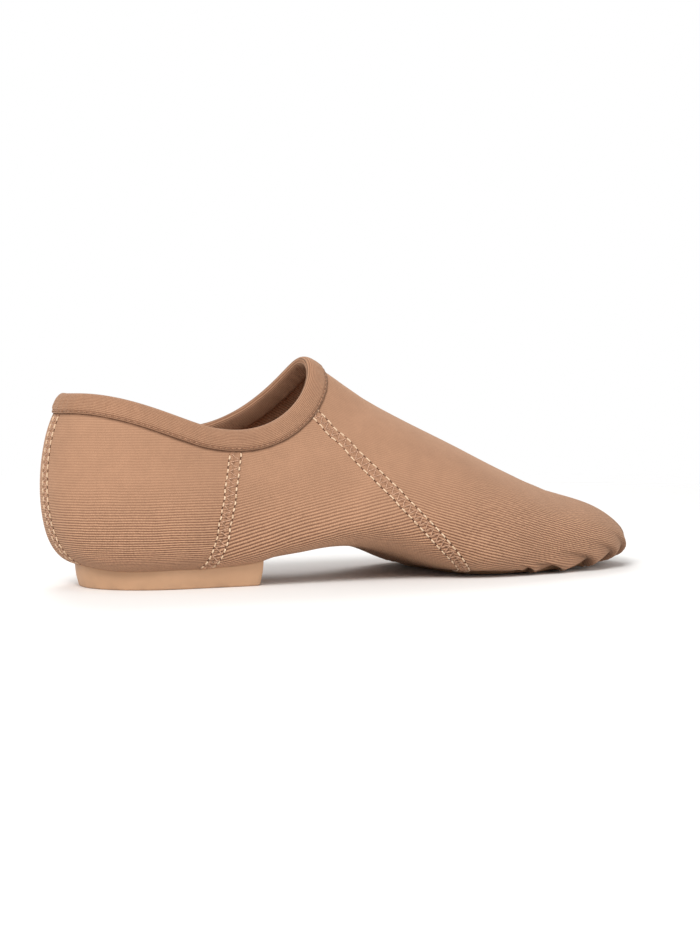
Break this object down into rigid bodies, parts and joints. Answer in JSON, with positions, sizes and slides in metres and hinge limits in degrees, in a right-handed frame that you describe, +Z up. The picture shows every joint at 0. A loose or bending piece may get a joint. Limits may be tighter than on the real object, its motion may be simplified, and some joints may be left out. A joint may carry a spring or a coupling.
{
  "type": "jazz shoe",
  "caption": "Slip-on split-sole jazz shoe in tan ribbed stretch canvas, with a bound collar, pleated toe, suede forefoot patch and low rubber heel block.",
  "frame": {"origin": "middle of the shoe's length and width, on the floor that its heel block and forefoot patch stand on", "axes": "+Z up, +Y towards the toe, +X towards the outer side of the right foot"},
  "size_m": [0.0874, 0.2409, 0.0809],
  "materials": {
    "canvas": "matt ribbed stretch canvas",
    "binding": "matt folded band",
    "heel_rubber": "satin moulded rubber with a fine dimpled tread",
    "suede": "brushed suede",
    "sock": "matt cotton sock lining"
  },
  "bodies": {
    "root": {"upper": "canvas", "collar_binding": "binding", "heel_block": "heel_rubber", "forefoot_patch": "suede", "insole": "sock"}
  },
  "joints": []
}
